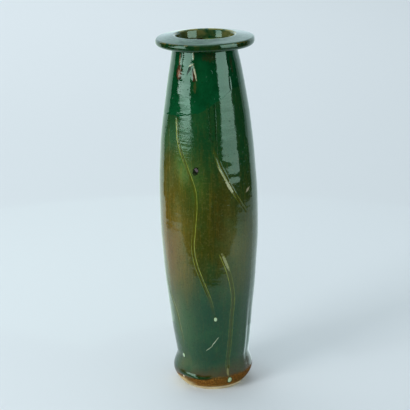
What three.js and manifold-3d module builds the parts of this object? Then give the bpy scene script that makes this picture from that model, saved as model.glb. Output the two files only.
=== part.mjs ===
// Tall stoneware vase with a flat collar, thrown in sections, luted together and glazed.
// Millimetres, +Z up. The origin is the middle of the flat underside, on the standing surface.

import * as THREE from 'three';
import { mergeVertices } from 'three/addons/utils/BufferGeometryUtils.js';
import Module from 'manifold-3d';

const wasm = await Module();
wasm.setup();

// Stance: the pot was cut off its bat a little out of square, so its axis leans towards -X
const LEAN_ANGLE = THREE.MathUtils.degToRad(1.36);
const CUT_ALLOWANCE = 1.5;

// Outside of the glazed pot, heights along its own axis
const FOOT_EDGE_RADIUS = 32;
const BULGE_RADIUS = 42.3;
const BULGE_HEIGHT = 17;
const WAIST_RADIUS = 38.2;
const WAIST_HEIGHT = 35;
const BELLY_RADIUS = 51.3;
const BELLY_HEIGHT = 195;
const NECK_RADIUS = 33.2;
const COLLAR_HEIGHT = 367;

// Collar, a little narrower than the belly, with heights measured from its underside at the neck
const COLLAR_SETBACK = 0.75;
const COLLAR_FILLET = 2.5;
const UNDERCUT_REACH = 7;
const NOSE_RISE = 4.4;
const NOSE_ROUND = 2.2;
const EDGE_RISE = 8.3;
const LIP_RISE = 11;
const LIP_ROUND = 3;
const LIP_DROP = 2.5;
const MOUTH_RADIUS = 29.5;

// Walls and coats
const WALL = 4;
const FLOOR_THICKNESS = 12;
const FLOOR_FILLET = 8;
const SECOND_COAT = 0.6;
const BASE_COAT = 0.7;
const LINING = 0.6;
const COAT_EDGE = 0.3;
const CLEARANCE = 0.3;

// Where the coats start and stop
const GLAZE_LINE = 3.4;
const FULL_COAT_HEIGHT = 30;
const DIP_HEIGHT = 311;
const DIP_TILT = THREE.MathUtils.degToRad(20);
const DIP_MARGIN = 20;
const BASE_COAT_STOP = 5;
const LINING_STOP = 7;
const THROAT_DROP = 5;

// Seams between the thrown sections, keyed by a V-shaped groove and ridge
const LOWER_SEAM_HEIGHT = 125;
const UPPER_SEAM_HEIGHT = 240;
const COLLAR_SEAM_DROP = 12;
const KEY_DEPTH = 1.6;

// How finely curves are drawn
const FACETS = 32;
const BODY_STEPS = 8;
const ARC_STEPS = 4;
const NEAREST_LEVELS = 0.6;

// Sizes that follow from the ones above
const COAT_DEPTH = SECOND_COAT + CLEARANCE + BASE_COAT + CLEARANCE;
const COVER = SECOND_COAT + CLEARANCE;
const SKIN = COAT_DEPTH + WALL + CLEARANCE + LINING;
const MOUTH_HEIGHT = COLLAR_HEIGHT + LIP_RISE - LIP_DROP;
const THROAT_HEIGHT = COLLAR_HEIGHT - THROAT_DROP;
const COLLAR_SEAM_HEIGHT = COLLAR_HEIGHT - COLLAR_SEAM_DROP;
const BASE_COAT_TOP = COLLAR_HEIGHT - BASE_COAT_STOP;
const LINING_TOP = COLLAR_HEIGHT + LINING_STOP;
const KEY_GAP = CLEARANCE * Math.SQRT2;
const COLLAR_RADIUS = BELLY_RADIUS - COLLAR_SETBACK;
const QUARTER = Math.PI / 2;

// Heights at which every wall has a ring of corners, so that nested walls stay parallel
const LEVELS = [
  ...spaced(0, BULGE_HEIGHT, ARC_STEPS),
  ...spaced(BULGE_HEIGHT, WAIST_HEIGHT, ARC_STEPS),
  ...spaced(WAIST_HEIGHT, BELLY_HEIGHT, BODY_STEPS),
  ...spaced(BELLY_HEIGHT, THROAT_HEIGHT, BODY_STEPS),
  ...spaced(THROAT_HEIGHT, MOUTH_HEIGHT, ARC_STEPS),
];

// Equal steps from one height up to another, without the last
function spaced(from, to, count) {
  return Array.from({ length: count }, (_, i) => from + (to - from) * i / count);
}

// Radius of the glazed outside: a quarter sine up the foot, half a cosine wave in to the waist,
// a quarter sine out to the belly and a quarter cosine in to the neck
function outside(z) {
  if (z < BULGE_HEIGHT) {
    return FOOT_EDGE_RADIUS + (BULGE_RADIUS - FOOT_EDGE_RADIUS) * Math.sin(QUARTER * z / BULGE_HEIGHT);
  }
  if (z < WAIST_HEIGHT) {
    const along = (z - BULGE_HEIGHT) / (WAIST_HEIGHT - BULGE_HEIGHT);
    return WAIST_RADIUS + (BULGE_RADIUS - WAIST_RADIUS) * (1 + Math.cos(Math.PI * along)) / 2;
  }
  if (z < BELLY_HEIGHT) {
    const along = (z - WAIST_HEIGHT) / (BELLY_HEIGHT - WAIST_HEIGHT);
    return WAIST_RADIUS + (BELLY_RADIUS - WAIST_RADIUS) * Math.sin(QUARTER * along);
  }
  const along = (z - BELLY_HEIGHT) / (COLLAR_HEIGHT - BELLY_HEIGHT);
  return NECK_RADIUS + (BELLY_RADIUS - NECK_RADIUS) * Math.cos(QUARTER * along);
}

// Radius of the glazed hollow: straight in the foot, along the wall, then flared to the mouth
function hollow(z) {
  const body = outside(THREE.MathUtils.clamp(z, WAIST_HEIGHT, THROAT_HEIGHT)) - SKIN;
  if (z < THROAT_HEIGHT) {
    return body;
  }
  const along = (z - THROAT_HEIGHT) / (MOUTH_HEIGHT - THROAT_HEIGHT);
  return body + (MOUTH_RADIUS - body) * (1 - Math.cos(QUARTER * along));
}

// Outside of the clay under the coats, which thin out towards the glaze line
function clayOutside(z) {
  const along = THREE.MathUtils.smoothstep(z, GLAZE_LINE, FULL_COAT_HEIGHT);
  return outside(z) - THREE.MathUtils.lerp(COAT_EDGE + CLEARANCE, COAT_DEPTH, along);
}

function clayInside(z) {
  return hollow(z) + LINING + CLEARANCE;
}

// Points of a radius function from one height to another, with the levels between them
function wall(radiusAt, from, to) {
  const low = Math.min(from, to);
  const high = Math.max(from, to);
  const between = LEVELS.filter((z) => z > low + NEAREST_LEVELS && z < high - NEAREST_LEVELS);
  const points = [low, ...between, high].map((z) => new THREE.Vector2(radiusAt(z), z));
  return from > to ? points.reverse() : points;
}

// Points of an elliptical arc about a centre, from one angle to another, in quarter turns
function arc(centreR, centreZ, semiR, semiZ, from, to) {
  const points = [];
  for (let i = 0; i <= ARC_STEPS; i += 1) {
    const angle = QUARTER * (from + (to - from) * i / ARC_STEPS);
    points.push(new THREE.Vector2(centreR + semiR * Math.cos(angle), centreZ + semiZ * Math.sin(angle)));
  }
  return points;
}

// Glazed outline of the collar, from the fillet under it over the nose and the lip to the mouth
function collarOutline() {
  const neck = outside(COLLAR_HEIGHT - COLLAR_FILLET);
  const noseHeight = COLLAR_HEIGHT + NOSE_RISE;
  const lip = MOUTH_RADIUS + LIP_ROUND;
  return [
    ...arc(neck + COLLAR_FILLET, COLLAR_HEIGHT - COLLAR_FILLET, COLLAR_FILLET, COLLAR_FILLET, 2, 1),
    ...arc(COLLAR_RADIUS - UNDERCUT_REACH, noseHeight, UNDERCUT_REACH, NOSE_RISE, -1, 0),
    ...arc(COLLAR_RADIUS - NOSE_ROUND, noseHeight, NOSE_ROUND, EDGE_RISE - NOSE_RISE, 0, 1).slice(1),
    ...arc(lip, MOUTH_HEIGHT, LIP_ROUND, LIP_DROP, 1, 2),
  ];
}

// An outline moved towards its left side by a distance, with each corner mitred
function inset(points, distance) {
  const moved = [];
  for (let i = 0; i < points.length; i += 1) {
    const before = points[Math.max(i - 1, 0)];
    const after = points[Math.min(i + 1, points.length - 1)];
    const into = points[i].clone().sub(before);
    const out = after.clone().sub(points[i]);
    const first = i === 0 ? out : into;
    const last = i === points.length - 1 ? into : out;
    const normalA = new THREE.Vector2(-first.y, first.x).normalize();
    const normalB = new THREE.Vector2(-last.y, last.x).normalize();
    const middle = normalA.clone().add(normalB).normalize();
    moved.push(points[i].clone().addScaledVector(middle, distance / middle.dot(normalA)));
  }
  return moved;
}

// V-shaped edge of a section at a seam, from the outside of the wall to the inside
function seamEdge(height, lift) {
  const outer = clayOutside(height);
  const inner = clayInside(height);
  return [
    new THREE.Vector2(outer, height + lift),
    new THREE.Vector2((outer + inner) / 2, height - KEY_DEPTH + lift),
    new THREE.Vector2(inner, height + lift),
  ];
}

// Floor of the hollow with a rounded corner, from the wall in to the axis
function floorCurve(radius, height) {
  return [
    ...arc(radius - FLOOR_FILLET, height + FLOOR_FILLET, FLOOR_FILLET, FLOOR_FILLET, 0, -1),
    new THREE.Vector2(0, height),
  ];
}

// A solid of revolution about +Z: the outline runs up the outside and down the inside
function revolve(outline, closed) {
  const points = closed ? [...outline, outline[0].clone()] : outline;
  const geometry = new THREE.LatheGeometry(points, FACETS);
  geometry.rotateX(QUARTER);
  return geometry;
}

// A three.js geometry as a solid for cutting
function toSolid(geometry) {
  const bare = geometry.clone();
  bare.deleteAttribute('normal');
  bare.deleteAttribute('uv');
  const merged = mergeVertices(bare);
  const corners = merged.index.array;
  const kept = [];
  for (let i = 0; i < corners.length; i += 3) {
    const [a, b, c] = corners.slice(i, i + 3);
    if (a !== b && b !== c && c !== a) {
      kept.push(a, b, c);
    }
  }
  return new wasm.Manifold(new wasm.Mesh({
    numProp: 3,
    vertProperties: new Float32Array(merged.attributes.position.array),
    triVerts: new Uint32Array(kept),
  }));
}

// A cut solid as a three.js geometry
function toGeometry(solid) {
  const mesh = solid.getMesh();
  const geometry = new THREE.BufferGeometry();
  geometry.setAttribute('position', new THREE.BufferAttribute(mesh.vertProperties, 3));
  geometry.setIndex(new THREE.BufferAttribute(mesh.triVerts, 1));
  geometry.computeVertexNormals();
  return geometry;
}

// Everything below the standing surface, seen in the leaning pot's own frame
function belowStand() {
  const size = 2 * COLLAR_HEIGHT;
  return toSolid(new THREE.BoxGeometry(size, size, size).translate(0, 0, -size / 2).rotateY(LEAN_ANGLE));
}

// Everything above the slanting line where the second coat stops
function aboveDip(drop) {
  const size = 4 * COLLAR_HEIGHT;
  const block = new THREE.BoxGeometry(size, size, size).translate(0, 0, size / 2);
  return toSolid(block.rotateY(-DIP_TILT).translate(0, 0, DIP_HEIGHT - drop));
}

// Thrown base: floor, bulging foot and the seat for the body, trimmed flat underneath
function footSection() {
  const outline = [
    new THREE.Vector2(0, -CUT_ALLOWANCE),
    ...wall(outside, -CUT_ALLOWANCE, GLAZE_LINE),
    ...wall(clayOutside, GLAZE_LINE, WAIST_HEIGHT),
    ...seamEdge(WAIST_HEIGHT, 0).slice(1),
    ...floorCurve(clayInside(FLOOR_THICKNESS), FLOOR_THICKNESS),
  ];
  return toGeometry(toSolid(revolve(outline, false)).subtract(belowStand()));
}

// A thrown section of the body between two seams
function bodySection(from, to) {
  const outline = [
    ...wall(clayOutside, from + KEY_GAP, to),
    ...seamEdge(to, 0).slice(1, 2),
    ...wall(clayInside, to, from + KEY_GAP),
    ...seamEdge(from, KEY_GAP).slice(1, 2),
  ];
  return revolve(outline, true);
}

// Collar on its neck stub, with the inside of the mouth
function collarSection() {
  const neckTop = BASE_COAT_TOP + CLEARANCE;
  const outline = [
    ...wall(clayOutside, COLLAR_SEAM_HEIGHT + KEY_GAP, neckTop),
    new THREE.Vector2(outside(neckTop) - COVER, neckTop),
    ...inset(collarOutline(), COVER),
    ...wall(clayInside, MOUTH_HEIGHT, COLLAR_SEAM_HEIGHT + KEY_GAP).slice(1),
    ...seamEdge(COLLAR_SEAM_HEIGHT, KEY_GAP).slice(1, 2),
  ];
  return revolve(outline, true);
}

// First coat over the whole outside, thinner where the second coat lies on it
function baseGlaze() {
  const outer = wall(outside, GLAZE_LINE + CLEARANCE, BASE_COAT_TOP);
  const inner = outer.map((point) => new THREE.Vector2(clayOutside(point.y) + CLEARANCE, point.y));
  const coat = toSolid(revolve([...outer, ...inner.reverse()], true));
  const coreRadius = (z) => outside(z) - COVER;
  const coreWall = wall(coreRadius, BULGE_HEIGHT, COLLAR_HEIGHT);
  const coreEnds = [new THREE.Vector2(0, BULGE_HEIGHT), new THREE.Vector2(0, COLLAR_HEIGHT)];
  const core = toSolid(revolve([coreEnds[0], ...coreWall, coreEnds[1]], false));
  return toGeometry(coat.subtract(aboveDip(CLEARANCE).subtract(core)));
}

// Second coat from the slanting dip line over the shoulder, the neck and the collar into the mouth
function secondGlaze() {
  const start = DIP_HEIGHT - BELLY_RADIUS * Math.tan(DIP_TILT) - DIP_MARGIN;
  const bodyWall = wall(outside, start, BASE_COAT_TOP);
  const mouthWall = wall(hollow, MOUTH_HEIGHT, LINING_TOP).slice(1);
  const outer = [...bodyWall, ...collarOutline(), ...mouthWall];
  const inner = inset(outer, SECOND_COAT);
  const coat = toSolid(revolve([...outer, ...inner.reverse()], true));
  return toGeometry(coat.intersect(aboveDip(0)));
}

// Glaze lining of the hollow, from the floor up into the throat
function liningGlaze() {
  const top = LINING_TOP - CLEARANCE;
  const floorHeight = FLOOR_THICKNESS + CLEARANCE;
  const fillet = floorHeight + FLOOR_FILLET;
  const outer = (z) => hollow(z) + LINING;
  const upward = [
    ...floorCurve(outer(fillet), floorHeight).reverse(),
    ...wall(outer, fillet, top).slice(1),
  ];
  const downward = [
    ...wall(hollow, top, fillet + LINING),
    ...floorCurve(hollow(fillet), floorHeight + LINING).slice(1),
  ];
  return revolve([...upward, ...downward], false);
}

// Finishes
const buffClay = new THREE.MeshStandardMaterial({ color: 0xb08d68, roughness: 0.85, metalness: 0 });
const greenGlaze = new THREE.MeshStandardMaterial({ color: 0x3f4f1c, roughness: 0.12, metalness: 0 });
const deepGlaze = new THREE.MeshStandardMaterial({ color: 0x0d3b22, roughness: 0.1, metalness: 0 });
const liningFinish = new THREE.MeshStandardMaterial({ color: 0x4a4a20, roughness: 0.2, metalness: 0 });

const pot = new THREE.Group();
pot.rotation.y = -LEAN_ANGLE;

function addPiece(name, geometry, material) {
  const mesh = new THREE.Mesh(geometry, material);
  mesh.name = name;
  pot.add(mesh);
}

addPiece('foot_section', footSection(), buffClay);
addPiece('lower_body', bodySection(WAIST_HEIGHT, LOWER_SEAM_HEIGHT), buffClay);
addPiece('middle_body', bodySection(LOWER_SEAM_HEIGHT, UPPER_SEAM_HEIGHT), buffClay);
addPiece('upper_body', bodySection(UPPER_SEAM_HEIGHT, COLLAR_SEAM_HEIGHT), buffClay);
addPiece('rim_collar', collarSection(), buffClay);
addPiece('base_glaze', baseGlaze(), greenGlaze);
addPiece('second_glaze', secondGlaze(), deepGlaze);
addPiece('lining_glaze', liningGlaze(), liningFinish);

const vase = new THREE.Group();
vase.add(pot);

export default vase;
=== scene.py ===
# %% [markdown]
# A tall stoneware vase, thrown in sections and dipped twice in a glossy green glaze.
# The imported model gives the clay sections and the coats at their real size. This lesson
# dresses them: the coats become fine surfaces worked out with numpy, so that the incised
# lines, the roll of the second dip and the beads of glaze are real shapes and not paint.

# %% Load the frame
import math

import bmesh
import bpy
import numpy as np
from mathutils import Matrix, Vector


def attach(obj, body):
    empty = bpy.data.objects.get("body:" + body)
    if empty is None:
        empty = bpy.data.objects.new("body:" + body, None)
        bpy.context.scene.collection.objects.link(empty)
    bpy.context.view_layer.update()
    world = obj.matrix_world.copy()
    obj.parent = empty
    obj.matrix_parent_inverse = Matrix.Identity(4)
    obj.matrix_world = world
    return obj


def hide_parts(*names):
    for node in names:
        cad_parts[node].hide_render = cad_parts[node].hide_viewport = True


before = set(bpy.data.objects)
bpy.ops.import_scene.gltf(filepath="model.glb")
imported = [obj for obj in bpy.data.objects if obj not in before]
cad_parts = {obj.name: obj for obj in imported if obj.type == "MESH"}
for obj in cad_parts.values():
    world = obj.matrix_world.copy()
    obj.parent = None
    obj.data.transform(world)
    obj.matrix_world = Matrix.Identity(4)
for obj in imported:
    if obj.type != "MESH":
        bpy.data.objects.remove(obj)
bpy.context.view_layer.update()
print("frame nodes:", sorted(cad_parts))

# %% [markdown]
# The vase is a body of revolution, so its sizes are a short list of radii and heights in
# millimetres along its own axis. The axis leans a little, because the potter's wire cut
# the foot slightly out of square, and every point is turned by that lean at the very end.

# %% Sizes of the pot in millimetres
MM = 0.001
LEAN = math.radians(1.36)
FOOT_EDGE_RADIUS = 32.0
BULGE_RADIUS, BULGE_HEIGHT = 42.3, 17.0
WAIST_RADIUS, WAIST_HEIGHT = 38.2, 35.0
BELLY_RADIUS, BELLY_HEIGHT = 51.3, 195.0
NECK_RADIUS, COLLAR_HEIGHT = 33.2, 367.0
COLLAR_RADIUS, COLLAR_FILLET, UNDERCUT_REACH = 50.55, 2.5, 7.0
NOSE_RISE, NOSE_ROUND, EDGE_RISE = 4.4, 2.2, 8.3
LIP_RISE, LIP_ROUND, LIP_DROP = 11.0, 3.0, 2.5
MOUTH_RADIUS, THROAT_DROP = 29.5, 5.0
SKIN = 6.8
FLOOR_HEIGHT, FLOOR_FILLET = 12.9, 8.0
GLAZE_LINE = 3.4
DIP_HEIGHT, DIP_SWING = 312.2, 16.6
MOUTH_HEIGHT = COLLAR_HEIGHT + LIP_RISE - LIP_DROP
THROAT_HEIGHT = COLLAR_HEIGHT - THROAT_DROP
print("across the belly in mm:", 2 * BELLY_RADIUS, "and up to the lip:", COLLAR_HEIGHT + LIP_RISE)

# %% [markdown]
# The wall could be a spline through points taken off the photo, but a thrown wall is simpler
# than that: it swings out and in like a wave. Quarter sines between the foot, the waist, the
# belly and the neck meet smoothly, and each size stays a number that can be changed by itself.

# %% Outside and inside
def outside(z):
    """Radius of the glazed outside: a quarter sine up the foot, half a cosine wave in to the
    waist, a quarter sine out to the belly and a quarter cosine in to the neck."""
    quarter = math.pi / 2
    foot = FOOT_EDGE_RADIUS + (BULGE_RADIUS - FOOT_EDGE_RADIUS) * np.sin(quarter * z / BULGE_HEIGHT)
    along = np.clip((z - BULGE_HEIGHT) / (WAIST_HEIGHT - BULGE_HEIGHT), 0, 1)
    waist = WAIST_RADIUS + (BULGE_RADIUS - WAIST_RADIUS) * (1 + np.cos(math.pi * along)) / 2
    along = np.clip((z - WAIST_HEIGHT) / (BELLY_HEIGHT - WAIST_HEIGHT), 0, 1)
    belly = WAIST_RADIUS + (BELLY_RADIUS - WAIST_RADIUS) * np.sin(quarter * along)
    along = np.clip((z - BELLY_HEIGHT) / (COLLAR_HEIGHT - BELLY_HEIGHT), 0, 1)
    neck = NECK_RADIUS + (BELLY_RADIUS - NECK_RADIUS) * np.cos(quarter * along)
    places = [z < BULGE_HEIGHT, z < WAIST_HEIGHT, z < BELLY_HEIGHT]
    return np.select(places, [foot, waist, belly], neck)


def hollow(z):
    """Radius of the glazed inside: the outside less the wall, then a flare to the mouth."""
    body = outside(np.clip(z, WAIST_HEIGHT, THROAT_HEIGHT)) - SKIN
    along = np.clip((z - THROAT_HEIGHT) / (MOUTH_HEIGHT - THROAT_HEIGHT), 0, 1)
    return body + (MOUTH_RADIUS - body) * (1 - np.cos(math.pi / 2 * along))


print("radius of the neck and of the throat in mm:",
      [round(float(radius(np.array(THROAT_HEIGHT))), 1) for radius in (outside, hollow)])


# %% [markdown]
# The collar is a flat disc, pulled out on the wheel, with a blunt nose, an undercut below it
# and a soft lip at the mouth. Four arcs in a row draw it. Then the points are set an equal
# distance apart, so that the grid has no long thin faces where the highlights turn.

# %% Outline of the collar
def arc(centre, semi, start, end, count, blunt=1.0):
    """Points of an elliptical arc about a centre, between two angles in quarter turns. The sine
    and cosine are raised to a power below 1 for a blunter curve."""
    angle = np.linspace(start, end, count) * math.pi / 2
    across, up = np.cos(angle), np.sin(angle)
    across = np.sign(across) * np.abs(across) ** blunt
    up = np.sign(up) * np.abs(up) ** blunt
    return np.stack([centre[0] + semi[0] * across, centre[1] + semi[1] * up], 1)


def collar_outline():
    """Outline of the collar, from the fillet under it over the nose and the lip to the mouth."""
    neck = float(outside(np.array(COLLAR_HEIGHT - COLLAR_FILLET)))
    nose = COLLAR_HEIGHT + NOSE_RISE
    return np.concatenate([
        arc((neck + COLLAR_FILLET, COLLAR_HEIGHT - COLLAR_FILLET), (COLLAR_FILLET, COLLAR_FILLET), 2, 1, 10),
        arc((COLLAR_RADIUS - UNDERCUT_REACH, nose), (UNDERCUT_REACH, NOSE_RISE), -1, 0, 16, 0.9),
        arc((COLLAR_RADIUS - NOSE_ROUND, nose), (NOSE_ROUND, EDGE_RISE - NOSE_RISE), 0, 1, 14, 0.8)[1:],
        arc((MOUTH_RADIUS + LIP_ROUND, MOUTH_HEIGHT), (LIP_ROUND, LIP_DROP), 1, 2, 14),
    ])


def even_steps(points, step):
    """The same outline with its points an equal distance apart."""
    lengths = np.hypot(*np.diff(points, axis=0).T)
    along = np.concatenate([[0], np.cumsum(lengths)])
    wanted = np.linspace(0, along[-1], max(2, int(round(along[-1] / step)) + 1))
    return np.stack([np.interp(wanted, along, points[:, k]) for k in (0, 1)], 1)


print("points on the collar's outline:", len(collar_outline()))

# %% [markdown]
# A surface on this pot is a grid: one direction goes round, the other runs along a profile.
# Joining each grid point to its neighbours gives quads, and the grid closes on itself round
# the pot. The last row can also join the first, which makes a coat a closed ring of glaze.

# %% Grid to mesh
def turn(radius, angle, height):
    """Points at a radius, an angle from the front and a height, leaned with the pot, in metres.
    Angle 0 faces -Y and grows towards +X; the lean turns the pot about Y through the base."""
    x, y = radius * np.sin(angle), -radius * np.cos(angle)
    across = x * math.cos(LEAN) - height * math.sin(LEAN)
    up = x * math.sin(LEAN) + height * math.cos(LEAN)
    return np.stack([across, y, up], -1) * MM


def grid_mesh(name, points, closed_profile, fields=None):
    """A mesh from rows x columns of points. Columns always close round the pot; the profile
    closes too if asked. Fields are numbers or colours that each point carries as attributes."""
    rows, columns = points.shape[:2]
    index = np.arange(rows * columns).reshape(rows, columns)
    upper = np.roll(index, -1, axis=0) if closed_profile else index[1:]
    lower = index if closed_profile else index[:-1]
    quads = np.stack([lower, np.roll(lower, -1, 1), np.roll(upper, -1, 1), upper], -1).reshape(-1, 4)
    mesh = bpy.data.meshes.new(name)
    mesh.vertices.add(rows * columns)
    mesh.vertices.foreach_set("co", points.astype(np.float32).ravel())
    mesh.loops.add(quads.size)
    mesh.loops.foreach_set("vertex_index", quads.astype(np.int32).ravel())
    mesh.polygons.add(len(quads))
    mesh.polygons.foreach_set("loop_start", np.arange(0, quads.size, 4, dtype=np.int32))
    mesh.update(calc_edges=True)
    for field, values in (fields or {}).items():
        if values.ndim == 3:
            layer = mesh.color_attributes.new(field, "FLOAT_COLOR", "POINT")
            layer.data.foreach_set("color", np.insert(values, 3, 1, axis=-1).astype(np.float32).ravel())
        else:
            layer = mesh.attributes.new(field, "FLOAT", "POINT")
            layer.data.foreach_set("value", values.astype(np.float32).ravel())
    mesh.shade_smooth()
    thing = bpy.data.objects.new(name, mesh)
    bpy.context.scene.collection.objects.link(thing)
    print(name, "faces:", len(mesh.polygons))
    return thing


def merge_poles(thing):
    """Merge the points that coincide at a pole, so that the surface is closed there."""
    shape = bmesh.new()
    shape.from_mesh(thing.data)
    bmesh.ops.remove_doubles(shape, verts=shape.verts, dist=1e-7)
    shape.to_mesh(thing.data)
    shape.free()


# %% [markdown]
# No thrown pot is quite round. The wall swells and sinks by about a millimetre here and there,
# most of all at the foot, where it was lifted off the wheel. Each swell is a soft bell with a
# height, an angle, a size and a depth in millimetres.

# %% Uneven wall
SWELLS = [
    dict(height=42, angle=90, tall=24, wide=50, out=1.2),
    dict(height=31, angle=-90, tall=14, wide=45, out=-0.5),
    dict(height=17, angle=0, tall=12.5, wide=62, out=-3.4),
    dict(height=17, angle=97, tall=12, wide=22, out=0.5),
    dict(height=17, angle=-97, tall=12, wide=22, out=0.4),
    dict(height=60, angle=57.5, tall=38, wide=4.5, out=0.5),
    dict(height=60, angle=66, tall=38, wide=4.5, out=-0.55),
    dict(height=178, angle=90, tall=34, wide=45, out=0.45),
    dict(height=272, angle=-87, tall=42, wide=34, out=0.7),
    dict(height=286, angle=-50, tall=20, wide=14, out=-0.9),
    dict(height=283, angle=-8, tall=22, wide=18, out=1.1),
    dict(height=297, angle=85, tall=16, wide=40, out=0.45),
    dict(height=359, angle=80, tall=9, wide=45, out=-0.8),
]


def smoothstep(low, high, x):
    """0 at the low end, 1 at the high one and a smooth S between them: three times the square of
    the share of the way, less twice its cube."""
    t = np.clip((x - low) / (high - low), 0, 1)
    return t * t * (3 - 2 * t)


def bell(x, width):
    """1 in the middle and about a third at one width from it: e to the power of minus the square
    of x over the width."""
    return np.exp(-((x / width) ** 2))


def turned(angle, degrees):
    """Angle from a direction given in degrees, the short way round, in radians."""
    return (angle - math.radians(degrees) + math.pi) % (2 * math.pi) - math.pi


def swell(angle, z):
    """How far the wall stands out from the round shape: the sum of the bells."""
    total = np.zeros(np.broadcast(angle, z).shape)
    for place in SWELLS:
        across = bell(turned(angle, place["angle"]), math.radians(place["wide"]))
        total += place["out"] * across * bell(z - place["height"], place["tall"])
    return total


print("swells of the wall:", len(SWELLS))

# %% [markdown]
# The potter trailed a tool down the soft pot: each line is a groove with a burr on both
# sides, wandering down the wall and often ending in a bead of glaze. A line is a short list of
# places, each with a height in millimetres, an angle in degrees and the strength of its left
# and right burr, and a smooth curve joins them. A bead is given by its height.

# %% Incised lines
LINES = [
    dict(path=[(300, -43.5, 0, 0), (296, -42.5, 1.3, 0.2), (277, -38.5, 1.4, 0.3),
               (268, -34.6, 1.1, 0.4), (258, -29.6, 0.8, 0.6), (244, -22.7, 0.2, 0.9),
               (226, -15.7, 0.2, 0.8), (212, -14.7, 0.2, 0.8), (187, -17, 0.35, 1), (163, -19, 0.7, 1),
               (146, -16, 0.7, 0.9), (130, -10, 0.5, 0.8), (108, -1, 0.3, 0.6), (94, 3, 0.15, 0.2),
               (85, 6, 0, 0)], bead=85),
    dict(path=[(284, 3, 0, 0), (272, 7, 0.1, 0.1), (262, 11, 0.6, 0.2), (248, 17, 1.2, 0.4),
               (239, 22, 1.7, 0.3), (230, 26.5, 1.5, 0.4), (221, 32, 0.9, 0.6), (213, 38, 0.5, 0.6),
               (203, 46, 0.3, 0.4), (196, 51, 0, 0)]),
    dict(path=[(161, 13, 0, 0), (156, 15, 0.9, 0.6), (145, 20, 1, 0.6), (131, 25, 0.9, 0.5),
               (105, 30, 0.6, 0.7), (88, 29, 0.5, 0.6), (53, 27, 0.5, 0.5), (30, 25, 0.45, 0.45),
               (22, 25, 0.4, 0.4), (12, 27.6, 0, 0)], bead=12, size=1.35, apart=2.1),
    dict(path=[(296, -60, 0, 0), (284, -58, 0.2, 0.3), (244, -53, 0.2, 0.4), (191, -53, 0.1, 0.2),
               (150, -62, 0, 0), (115, -68, 0.3, 0.6), (100, -61, 0.5, 0.7), (90, -55, 0.4, 0.7),
               (70, -50, 0.3, 0.6), (55, -48, 0.2, 0.3), (46, -50, 0, 0), (37, -52, 0, 0)], bead=37),
    dict(path=[(292, 119, 0, 0), (286, 118, 1, 0.4), (250, 108, 0.7, 0.9), (200, 116, 0.3, 1),
               (150, 132, 1, 0.5), (100, 124, 0.5, 0.7), (62, 112, 0.2, 0.3), (54, 110, 0, 0)], bead=54),
    dict(path=[(272, 168, 0, 0), (266, 167, 0.6, 0.8), (230, 160, 1, 0.3), (180, 178, 0.4, 0.9),
               (120, 168, 0.8, 0.4), (60, 184, 0.4, 0.5), (26, 180, 0.2, 0.2), (18, 178, 0, 0)], bead=18),
    dict(path=[(300, 236, 0, 0), (294, 237, 0.5, 1), (250, 246, 1, 0.5), (190, 232, 0.4, 0.9),
               (130, 242, 0.9, 0.4), (92, 232, 0.2, 0.3), (84, 229, 0, 0)], bead=84),
]
print("incised lines:", len(LINES))


def smooth_curve(path, heights):
    """Angle of a line at each height: a cubic through its places with slopes taken from the
    neighbours, level beyond both ends."""
    z = np.array([place[0] for place in path], float)[::-1]
    a = np.array([place[1] for place in path], float)[::-1]
    slope = np.gradient(a, z)
    slope[0] = slope[-1] = 0
    h = np.clip(heights, z[0], z[-1])
    i = np.clip(np.searchsorted(z, h) - 1, 0, len(z) - 2)
    width = z[i + 1] - z[i]
    t = (h - z[i]) / width
    rise = (2 * t**3 - 3 * t**2 + 1) * a[i] + (t**3 - 2 * t**2 + t) * width * slope[i]
    return np.radians(rise + (3 * t**2 - 2 * t**3) * a[i + 1] + (t**3 - t**2) * width * slope[i + 1])


def strength(path, heights, side):
    """How strong the burr on one side is at each height: 2 for the left side, 3 for the right."""
    places = path[::-1]
    return np.interp(heights, [place[0] for place in places], [place[side] for place in places])


def line_angles(heights):
    """Angle of every line at every height, ordered round the pot."""
    found = np.stack([smooth_curve(line["path"], heights) for line in LINES])
    return found[np.argsort(found[:, len(heights) // 2])]


# %% [markdown]
# A bump map could darken the lines, but not turn their highlights, and the exported shape would
# be plain. So the lines are real: each is a soft trough between two narrow ridges, measured
# across the line at every grid point. The glaze breaks pale on a burr and pools in a groove,
# so how much of each a point is goes on to the material.

# %% Grooves, burrs and beads
BURR_OFFSET, BURR_WIDTH, BURR_HEIGHT = 1.6, 0.42, 0.3
GROOVE_WIDTH, GROOVE_DEPTH = 1.1, 0.22
BEAD_WIDTH, BEAD_LENGTH, BEAD_HEIGHT = 1.9, 2.7, 0.8


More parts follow.
